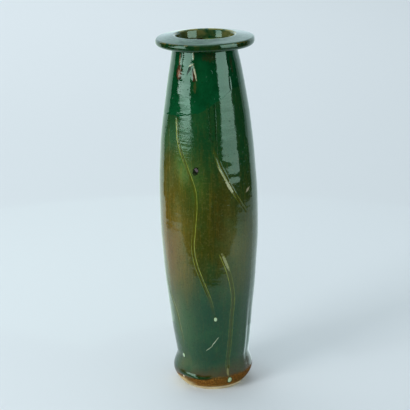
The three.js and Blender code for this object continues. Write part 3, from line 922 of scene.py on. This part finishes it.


# %% [markdown]
# The first coat is a copper green stoneware glaze, dipped. Streaks 4 mm wide and threads of
# 1.6 mm run down it, grains of 1 to 2.5 mm mottle it, the tooled lines show as pale burrs beside
# a dark groove, and at the foot it is thin, dull and rusty. The burrs are pale where the glaze ran
# thin, and the palest cream on the strongest burrs and on the beads is a painted highlight, as are
# a few of the marks.

# %% Copper green glaze
FIRST_MARKS = [
    dict(at=(247, -14), half=(4.4, 3.3), slant=25, colour="#141c0e", ragged=0.6),
    dict(at=(247.8, -13), half=(2.2, 1.5), slant=-40, colour="#5a5054", ragged=0.7),
    dict(at=(294, -36), half=(1.1, 4.0), slant=8, colour="#1c4a26", share=0.7, ragged=1.0, dull=0.5),
    dict(at=(287, -33), half=(1.2, 4.6), slant=-6, colour="#1c4a26", share=0.7, ragged=1.0, dull=0.5),
    dict(at=(280, -36), half=(1.1, 4.0), slant=6, colour="#1c4a26", share=0.7, ragged=1.0, dull=0.5),
    dict(at=(222, 53), half=(3.2, 1.3), slant=58, colour="#b0a686", share=0.9, ragged=0.8),
    # Painted highlights: pale streaks along the left burr of the second line, where it mirrors a strip
    # light.
    dict(at=(238, 20.5), half=(16.0, 1.0), slant=-28, colour="#a6ac7c", share=0.8, ragged=0.35),
    dict(at=(229, 25.6), half=(8.0, 1.6), slant=-28, colour="#b6ba92", share=0.85, ragged=0.5),
    dict(at=(234, 26), half=(0.9, 0.6), colour="#a8ae88", share=0.7),
    dict(at=(149, 19), half=(10.0, 1.5), slant=-22, colour="#9ca070", share=0.75, ragged=0.5),
    dict(at=(50.5, -4.2), half=(4.1, 0.3), slant=52, colour="#b8c2a0", share=0.85, ragged=0.3),
    dict(at=(54.5, 1.0), half=(2.3, 0.32), slant=24, colour="#b8c2a0", share=0.8, ragged=0.3),
    dict(at=(57.5, 3.9), half=(2.6, 0.42), slant=42, colour="#c4ccae", share=0.9, ragged=0.3),
    dict(at=(61.2, 7.6), half=(3.0, 0.3), slant=38, colour="#b8c2a0", share=0.9, ragged=0.3),
    # Painted glint: a small pale cream spot on the glaze edge at the left of the foot.
    dict(at=(13.5, -52), half=(1.1, 2.4), colour="#e0dab8", share=0.9, ragged=0.5),
    dict(at=(21.5, 24.5), half=(4.5, 1.2), slant=-3, colour="#8c8450", share=0.7, ragged=0.4),
    dict(at=(128, -5), half=(1.2, 3.2), slant=10, colour="#1d3a20", share=0.5, ragged=0.5),
    dict(at=(126, 6), half=(1.2, 3.2), slant=10, colour="#1d3a20", share=0.5, ragged=0.5),
    dict(at=(106, 9), half=(1.2, 2.6), slant=10, colour="#1d3a20", share=0.5, ragged=0.5),
]


def first_glaze():
    """The first coat: its carried tint, with streaks, threads and grains laid over it, then the
    tooled lines with a painted highlight on the strongest burrs and the beads, and the marks, a few
    of them painted highlights. Where it is rusty it is dull."""
    material, tree = new_material("copper_green_stoneware_glaze")
    place = add(tree, "TexCoord", out="Object")
    warm, rusty, pool, burr, bead, ripple = carried(tree, "warm", "rusty", "pool", "burr", "bead", "ripple")
    streak = add(tree, "TexNoise", add(tree, "Mapping", place, Scale=(260, 260, 12)), 1, 4, 0.6)
    thread = add(tree, "TexNoise", add(tree, "Mapping", place, Scale=(620, 620, 40)), 1, 3, 0.6)
    cloud = add(tree, "TexNoise", place, 60, 4, 0.6)
    mottle = add(tree, "TexNoise", place, 420, 3, FINE)
    fleck = add(tree, "TexNoise", place, 700, 2, FINE)
    grain = add(tree, "TexNoise", place, 950, 2, FINE)
    colour = add(tree, "Attribute", attribute_name="tint", out="Color")
    colour = laid(tree, colour, "#1c3a14", 0.4, warm, streak, (0.5, 0.34))
    colour = laid(tree, colour, "#74601a", 0.32, warm, streak, (0.52, 0.7))
    colour = laid(tree, colour, "#8a6a14", 0.2, warm, thread, (0.5, 0.66))
    colour = laid(tree, colour, "#7a7440", 0.3, warm, mottle, (0.5, 0.68))
    colour = laid(tree, colour, "#2c5a2c", 0.2, None, cloud, (0.45, 0.7))
    colour = laid(tree, colour, "#20280c", 0.42, None, fleck, (0.56, 0.7))
    colour = laid(tree, colour, "#b4803c", 0.5, rusty, grain, (0.54, 0.64))
    colour = laid(tree, colour, "#2c1a0a", 0.45, rusty, grain, (0.46, 0.38))
    colour = laid(tree, colour, "#4a4a08", 0.75, pool)
    colour = laid(tree, colour, "#8e9634", 1.0, None, burr, (0.1, 0.9))
    # Painted highlight: the strongest burrs get a paler cream on top of the pale break of thin glaze.
    colour = laid(tree, colour, "#cdd49c", 1.0, None, burr, (0.85, 1.4))
    colour = laid(tree, colour, "#33421a", 1.0, None, bead, (0.22, 0.4))
    # Beads: a dark ring, then a pale top that is a painted highlight.
    colour = laid(tree, colour, "#b4cda4", 1.0, None, bead, (0.42, 0.6))
    glossy = add(tree, "Math", ripple, 0.16, 0.08, operation="MULTIPLY_ADD")
    dull = add(tree, "Math", rusty, 0.3, operation="MULTIPLY")
    rough = add(tree, "Math", glossy, dull, operation="MAXIMUM")
    level = add(tree, "Math", rusty, -0.46, 0.5, operation="MULTIPLY_ADD")
    ragged = add(tree, "TexNoise", place, 650, 2, FINE)
    melted(tree, place, *marked(tree, ragged, colour, rough, FIRST_MARKS), ripple, level)
    return material


first_coat.data.materials.append(first_glaze())

# %% [markdown]
# The second coat is a bottle green glaze, thicker and glossier. On the flat top of the collar it
# lies in grey green rings, and it breaks to olive where it thins over the edges and the lip.

# %% Bottle green glaze
def second_glaze():
    """The second coat: bottle green with clouds, streaks and flecks, then the rings on the collar,
    the olive breaks along its edges and the marks."""
    material, tree = new_material("second_dip_bottle_green_glaze")
    place = add(tree, "TexCoord", out="Object")
    angle, reach, top, nose, edge, lip, throat = carried(
        tree, "round", "reach", "top", "nose", "edge", "lip", "throat")
    streak = add(tree, "TexNoise", add(tree, "Mapping", place, Scale=(150, 150, 16)), 1, 4, 0.6)
    cloud = add(tree, "TexNoise", place, 45, 4, FINE)
    patch = add(tree, "TexNoise", place, 190, 3, FINE)
    fleck = add(tree, "TexNoise", place, 600, 2, FINE)
    on_ring = add(tree, "Mapping", add(tree, "CombineXYZ", angle, reach), Scale=(5, 0.45, 1))
    ring = add(tree, "TexNoise", on_ring, 1, 4, 0.6)
    rings = laid(tree, "#0c2c16", "#486a50", 1.0, None, ring, (0.38, 0.62))
    rim = laid(tree, "#0a2c10", "#26300e", 1.0, None, patch, (0.4, 0.6))
    colour = laid(tree, "#04381a", "#084423", 1.0, None, cloud, (0.38, 0.62))
    colour = laid(tree, colour, "#20400c", 0.4, None, streak, (0.55, 0.72))
    colour = laid(tree, colour, "#082408", 0.5, None, fleck, (0.6, 0.72))
    colour = laid(tree, colour, rings, 0.7, top)
    colour = laid(tree, colour, rim, 0.8, nose)
    for place_on_rim, tint, torn, levels in [(edge, "#5c5424", (0.38, 0.6), (0.25, 0.8)),
                                             (lip, "#8a8238", (0.3, 0.55), (0.3, 0.8))]:
        breaks = add(tree, "MapRange", patch, *torn, interpolation_type="SMOOTHSTEP")
        thin = add(tree, "Math", place_on_rim, breaks, operation="MULTIPLY")
        colour = laid(tree, colour, tint, 1.0, None, thin, levels)
    colour = laid(tree, colour, "#5e6034", 1.0, throat, cloud, (0.36, 0.6))
    ragged = add(tree, "TexNoise", place, 650, 2, FINE)
    melted(tree, place, *marked(tree, ragged, colour, 0.06, SECOND_MARKS), ripple=0.0)
    return material


second.data.materials.append(second_glaze())

# %% [markdown]
# The lining was poured in and out again. It is a paler, mottled olive green with grains of
# 2.5 mm, broken by one dark patch, and it gets darker with depth, which is painted shade down the throat.

# %% Olive lining
DARK_PATCH = dict(at=(366, -140), half=(18, 14), colour="#241a08", ragged=1.2)
LINING_ROUGHNESS = 0.12


def lining_glaze():
    """The lining: two greens mixed by a cloud, then light and dark grains and the patch, all of it
    darker with depth as painted shade."""
    material, tree = new_material("poured_olive_lining_glaze")
    place = add(tree, "TexCoord", out="Object")
    height = carried(tree, "height")[0]
    cloud = add(tree, "TexNoise", place, 40, 4, FINE)
    speckle = add(tree, "TexNoise", place, 420, 3, FINE)
    colour = laid(tree, "#5a7444", "#4a7c54", 1.0, None, cloud, (0.4, 0.6))
    colour = laid(tree, colour, "#867a44", 1.0, None, speckle, (0.56, 0.66))
    colour = laid(tree, colour, "#1c4a22", 1.0, None, speckle, (0.42, 0.34))
    colour, roughness = marked(tree, cloud, colour, LINING_ROUGHNESS, [DARK_PATCH])
    # Painted shade: the lining darkens from 350 mm down to 310 mm, deeper in the pot.
    colour = laid(tree, colour, "#1c3a1c", 1.0, None, height, (350, 310))
    normal = add(tree, "Bump", Height=cloud, Strength=0.3, Distance=0.001)
    shader = add(tree, "BsdfPrincipled", Base_Color=colour, Roughness=roughness, Normal=normal,
                 IOR=GLAZE_IOR, Specular_Tint=GREEN_GLASS)
    add(tree, "OutputMaterial", shader)
    return material


inside_lining.data.materials.append(lining_glaze())

# %% [markdown]
# The clay is buff stoneware, fired and left bare, which is matt and sandy. It has a grain of
# 1 mm and fine dark specks of iron.

# %% Buff clay
CLAY_IOR, CLAY_ROUGHNESS = 1.5, 0.82


def clay():
    """The clay: two buffs mixed by a cloud, dark specks, and the grain as a bump."""
    material, tree = new_material("buff_fired_stoneware")
    place = add(tree, "TexCoord", out="Object")
    grain = add(tree, "TexNoise", place, 900, 4, FINE)
    cloud = add(tree, "TexNoise", place, 60, 3, FINE)
    speck = add(tree, "TexNoise", place, 1600, 1, FINE)
    colour = laid(tree, "#d6c196", "#e8d6ac", 1.0, None, cloud, (0.35, 0.65))
    colour = laid(tree, colour, "#4a2f1c", 1.0, None, speck, (0.66, 0.74))
    normal = add(tree, "Bump", Height=grain, Strength=0.5, Distance=0.0003)
    shader = add(tree, "BsdfPrincipled", Base_Color=colour, Roughness=CLAY_ROUGHNESS, Normal=normal,
                 IOR=CLAY_IOR)
    add(tree, "OutputMaterial", shader)
    return material


clay_finish = clay()
clay_foot.data.materials.append(clay_finish)
for node in ("lower_body", "middle_body", "upper_body", "rim_collar"):
    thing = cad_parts[node]
    thing.data.materials.clear()
    thing.data.materials.append(clay_finish)


# %% [markdown]
# The pot stands on a pale sheet of paper. The paper lies 0.2 mm above the standing face, so that
# the two faces are never drawn on one level. Things of the stage aren't part of the pot.

# %% Stage
FLOOR_HALF, PAPER_TOP = 9.0, 0.0002


def staged(name, vertices, faces, material):
    """A piece of the stage from its points, faces and material."""
    mesh = bpy.data.meshes.new(name)
    mesh.from_pydata(vertices, [], faces)
    thing = bpy.data.objects.new(name, mesh)
    bpy.context.scene.collection.objects.link(thing)
    thing.data.materials.append(material)
    return thing


def plain(name, colour, roughness):
    """A material of one colour and one roughness."""
    material, tree = new_material(name)
    shader = add(tree, "BsdfPrincipled", hexed(colour), Roughness=roughness)
    add(tree, "OutputMaterial", shader)
    return material


def band(inner, outer, name, material):
    """A band of quads between two rows of points."""
    count = len(inner)
    faces = [(i, i + 1, count + i + 1, count + i) for i in range(count - 1)]
    return staged(name, inner + outer, faces, material)


front, behind = ([(x, y, PAPER_TOP) for x in (-FLOOR_HALF, FLOOR_HALF)] for y in (-FLOOR_HALF, FLOOR_HALF))
band(front, behind, "stage_floor", plain("pale_seamless_paper", "#dae3e8", 0.8))

# %% [markdown]
# Gloss shows what stands round the pot, so the glaze gets a set of its own to mirror: the edge
# of the table with a dark room beyond it in front, and a bright screen behind. These cards are
# seen in reflections only. Azimuths count from the front, and grow towards +X as angles on the
# pot do.

# %% Cards for the reflections
EDGE_LIFT, SHEET_LIFT = 0.002, 0.003


def reflection_only(thing):
    """Keeps a card out of sight and out of the lighting: only reflections show it."""
    thing.visible_camera = False
    thing.visible_diffuse = False
    thing.visible_shadow = False
    thing.visible_transmission = False
    thing.visible_volume_scatter = False


def glowing(name, colour, radiance):
    """A material that shines in one colour, the same all over."""
    material, tree = new_material(name)
    add(tree, "OutputMaterial", add(tree, "Emission", hexed(colour), radiance))
    return material


def ring_points(radius, azimuths, height):
    """Points of a level ring round the pot: the radius times the sine of the azimuth in x, and
    times minus its cosine in y."""
    return [(radius * math.sin(a), -radius * math.cos(a), height) for a in np.radians(azimuths)]


def screen(name, radius, start, stop, low, high, material):
    """An upright curved card round the pot between two azimuths in degrees."""
    azimuths = np.linspace(start, stop, 33)
    lower, upper = (ring_points(radius, azimuths, height) for height in (low, high))
    reflection_only(band(lower, upper, name, material))


def floor_sheet(name, start, stop, near, far, material):
    """A sheet on the floor round the pot, between two azimuths and two radii."""
    azimuths = np.linspace(start, stop, 17)
    inner, outer = (ring_points(radius, azimuths, SHEET_LIFT) for radius in (near, far))
    reflection_only(band(inner, outer, name, material))


# %% [markdown]
# Most of these cards stand close to the pot, so that even the low part of the wall mirrors
# their lower edge. Each is as bright as its reflection on the glaze has to look.

# %% Screens round the pot
TABLE_EDGE = [(-0.48, 0.33), (-0.54, 0.08), (-0.57, -0.10), (-0.58, -0.22), (-0.42, -0.235),
              (-0.32, -0.22), (-0.225, -0.245), (-0.125, -0.26), (0.10, -0.275), (0.40, -0.285),
              (0.70, -0.25), (0.79, -0.05), (0.78, 0.45)]
ROOM_RADIUS = 3.0
black = plain("black_velvet_card", "#0a0c0e", 0.95)
edge = [(x, y, EDGE_LIFT) for x, y in TABLE_EDGE]
outwards = [ROOM_RADIUS / math.hypot(x, y) for x, y in TABLE_EDGE]
beyond = [(x * more, y * more, EDGE_LIFT) for more, (x, y) in zip(outwards, TABLE_EDGE)]
reflection_only(band(edge, beyond, "stage_beyond_table", black))
screen("stage_dark_room", 2.6, -125, 120, 0.0, 2.6, black)
left_glow = glowing("bright_screen_left", "#e2f9f2", 1.3)
right_glow = glowing("bright_screen_right", "#e6fbff", 0.95)
end_glow = glowing("bright_screen_end", "#e6fbff", 0.5)
high_glow = glowing("bright_screen_high", "#e0f6ff", 1.3)
top_glow = glowing("bright_screen_top", "#e0f6ff", 1.0)
near_glow = glowing("bright_sheet_near", "#e6fbff", 1.3)
shade = plain("contact_shadow_card", "#5c564c", 0.95)
screen("stage_bright_screen_left", 0.7, -180, -124, 0.0, 0.36, left_glow)
screen("stage_bright_screen_left_end", 0.7, -124, -116, 0.19, 0.36, left_glow)
screen("stage_bright_screen_right", 0.7, 122, 180, 0.0, 0.36, right_glow)
screen("stage_bright_screen_right_end", 0.7, 111, 123, 0.19, 0.5, end_glow)
screen("stage_bright_screen_high", 0.7, -236, -124, 0.36, 0.75, high_glow)
screen("stage_bright_screen_top", 0.7, -236, -124, 0.75, 1.4, top_glow)
floor_sheet("stage_bright_floor_left", -180, -118, 0.16, 0.7, left_glow)
floor_sheet("stage_bright_floor_right", 118, 180, 0.16, 0.7, right_glow)
floor_sheet("stage_bright_floor_near", 107, 180, 0.07, 0.16, near_glow)
floor_sheet("stage_foot_shadow", -40, 150, 0.034, 0.066, shade)

# %% [markdown]
# The two long highlights on the wall mirror a tall window or strip light on either side of the
# camera. Each is a card whose edges and brightness change with its height, so that the highlight
# keeps its shape on the curved wall and fades low down. A row gives a height in metres, the
# azimuths of both edges and a radiance.

# %% Strip lights
STRIP_DISTANCE = 1.2


def strip(name, colour, rows):
    """A tall bright card, seen only in reflections, with its radiance carried by its points."""
    left, right = [], []
    for height, start, stop, _ in rows:
        left += ring_points(STRIP_DISTANCE, [start], height)
        right += ring_points(STRIP_DISTANCE, [stop], height)
    material, tree = new_material(name)
    radiance = carried(tree, "glow")[0]
    add(tree, "OutputMaterial", add(tree, "Emission", hexed(colour), radiance))
    thing = band(left, right, "stage_" + name, material)
    glow = [row[3] for row in rows] * 2
    thing.data.attributes.new("glow", "FLOAT", "POINT").data.foreach_set("value", glow)
    reflection_only(thing)


strip("left_strip_light", "#ffffff", [
    (0.15, -71, -37, 3.0), (0.21, -74, -40, 3.7), (0.26, -79, -44, 3.3), (0.29, -83, -45, 4.8),
    (0.33, -91, -46, 7.0), (0.35, -87, -46, 6.9), (0.37, -77, -47, 5.9), (0.42, -74, -48, 5.4),
    (1.30, -70, -48, 5.2)])
strip("right_strip_light", "#fbfffd", [
    (0.06, 64, 78, 2.8), (0.09, 53, 79, 2.9), (0.12, 43, 79, 3.0), (0.15, 36, 77, 3.1),
    (0.18, 35, 75, 3.0), (0.23, 38, 77, 2.9), (0.30, 39, 75, 3.6), (0.34, 38.5, 74, 4.0),
    (0.40, 38.5, 74, 4.3), (0.44, 36, 76, 4.7), (1.30, 35, 77, 4.8)])


# %% [markdown]
# Three soft lights do the lighting itself: a key at the front left, a wide fill overhead, and
# one for the paper behind. Reflections don't show them. A dim, cool world fills the shadows.

# %% Lights
AREA_LIGHTS = [
    dict(name="front_left_key", radiance=10.8, size=(0.78, 0.78),
         place=(-1.55, -1.4, 1.15), aim=(0, 0, 0.2)),
    dict(name="front_overhead_fill", radiance=1.15, size=(2.2, 1.4),
         place=(-1.3, -1.4, 1.9), aim=(-0.15, 0, 0)),
    dict(name="background_light", radiance=1.2, size=(4.0, 3.0),
         place=(-1.0, 2.8, 2.2), aim=(-0.4, 3.0, 0)),
]
WORLD_COLOUR, WORLD_STRENGTH = (0.88, 0.96, 1.0, 1.0), 0.55


def area_light(name, place, aim, size, radiance):
    """A flat soft light of a given brightness, turned from its place to the point it aims at. Its
    power is the radiance times pi times its area."""
    light = bpy.data.lights.new(name, "AREA")
    light.shape = "RECTANGLE"
    light.size, light.size_y = size
    light.energy = radiance * math.pi * size[0] * size[1]
    thing = bpy.data.objects.new(name, light)
    thing.location = place
    thing.rotation_euler = (Vector(aim) - Vector(place)).to_track_quat("-Z", "Y").to_euler()
    thing.visible_camera = False
    thing.visible_glossy = False
    bpy.context.scene.collection.objects.link(thing)


for settings in AREA_LIGHTS:
    area_light(**settings)

world = bpy.data.worlds.new("studio")
bpy.context.scene.world = world
world.use_nodes = True
background = world.node_tree.nodes["Background"]
background.inputs["Color"].default_value = WORLD_COLOUR
background.inputs["Strength"].default_value = WORLD_STRENGTH
print("lights:", len(AREA_LIGHTS))

# %% [markdown]
# The camera stands about 1.5 m away and looks 17 degrees down with a short telephoto lens,
# which is the viewing angle worked out from the ellipses of the rim and the foot.

# %% Camera
CAMERA_DISTANCE, CAMERA_HEIGHT = 1.4062, 0.6272
CAMERA_PITCH, CAMERA_YAW = math.radians(17.03), 0.0062
SENSOR, FOCAL_IN_PIXELS, IMAGE_WIDTH = 36.0, 1400, 410
camera_data = bpy.data.cameras.new("camera")
camera_data.sensor_width = SENSOR
camera_data.lens = SENSOR * FOCAL_IN_PIXELS / IMAGE_WIDTH
print("lens in mm:", round(camera_data.lens, 1))
camera = bpy.data.objects.new("camera", camera_data)
camera.location = (0, -CAMERA_DISTANCE, CAMERA_HEIGHT)
camera.rotation_euler = (math.pi / 2 - CAMERA_PITCH, 0, CAMERA_YAW)
bpy.context.scene.collection.objects.link(camera)
bpy.context.scene.camera = camera
bpy.context.scene.view_settings.view_transform = "Standard"
